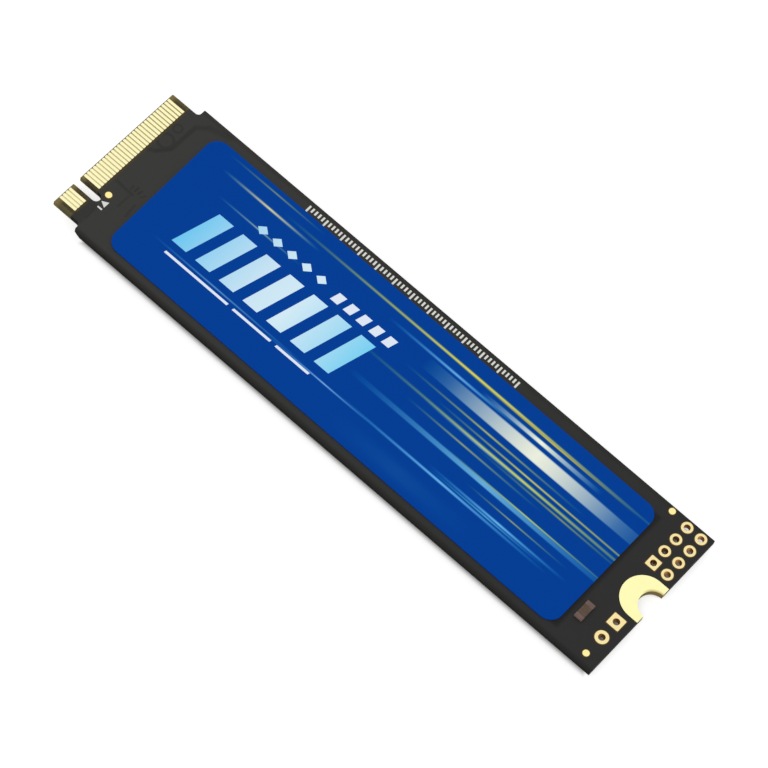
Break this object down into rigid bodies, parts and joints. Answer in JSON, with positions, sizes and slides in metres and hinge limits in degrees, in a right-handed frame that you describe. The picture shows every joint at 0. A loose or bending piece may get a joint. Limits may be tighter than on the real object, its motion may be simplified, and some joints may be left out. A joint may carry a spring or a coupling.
{
  "type": "gumstick solid state drive",
  "caption": "Bare circuit board solid state drive card with a keyed gold-finger edge connector, a half-round screw notch, a printed blue label above and memory chips below.",
  "frame": {"origin": "middle of the card's bounding box at its lowest level, the tops of the four flash packages it rests on", "axes": "+X from the contact fingers to the screw notch, +Y across the card to the side away from the key notch, +Z out of the label side"},
  "size_m": [0.08, 0.022, 0.0023],
  "materials": {
    "board": "black solder mask over glass-epoxy board",
    "label": "printed film, satin",
    "contact_gold": "gold plate, bright",
    "land_gold": "gold flash, satin",
    "dull_ceramic": "matt",
    "dull_tin": "dull tin",
    "mould_compound": "fine-grained moulding",
    "package_laminate": "sawn laminate",
    "solder": "melted solder, satin",
    "tinned_lead": "tinned, satin",
    "ferrite": "pressed metal powder, matt",
    "brown_ceramic": "fired ceramic, satin",
    "tan_ceramic": "fired ceramic, satin",
    "resistor_glass": "glass coat, glossy",
    "tin_end": "tinned, satin",
    "crystal_ceramic": "fired ceramic, matt",
    "crystal_metal": "plated lid, satin"
  },
  "bodies": {
    "root": {"circuit_board": "board", "label": "label", "contact_fingers_label_side": "contact_gold", "contact_fingers_chip_side": "contact_gold", "screw_pad_label_side": "land_gold", "screw_pad_chip_side": "land_gold", "board_header_eyelets": "land_gold", "board_jumper_eyelets": "land_gold", "locating_dots_label_side": "land_gold", "locating_dots_chip_side": "land_gold", "marker_body": "dull_ceramic", "marker_ends": "dull_tin", "controller_mould": "mould_compound", "controller_substrate": "package_laminate", "controller_balls": "solder", "flash_mould_1": "mould_compound", "flash_mould_2": "mould_compound", "flash_mould_3": "mould_compound", "flash_mould_4": "mould_compound", "flash_substrates": "package_laminate", "flash_balls_1": "solder", "flash_balls_2": "solder", "flash_balls_3": "solder", "flash_balls_4": "solder", "power_chip_body": "mould_compound", "power_chip_joints": "solder", "inductor_bodies": "ferrite", "inductor_ends": "tin_end", "bulk_capacitor_bodies": "brown_ceramic", "bulk_capacitor_ends": "tin_end", "small_capacitor_bodies": "tan_ceramic", "small_capacitor_ends": "tin_end", "resistor_bodies": "resistor_glass", "resistor_ends": "tin_end", "crystal_base": "crystal_ceramic", "crystal_lid": "crystal_metal", "memory_chip_body": "mould_compound", "memory_chip_joints": "solder", "regulator_body": "mould_compound", "regulator_leads": "tinned_lead"}
  },
  "joints": []
}
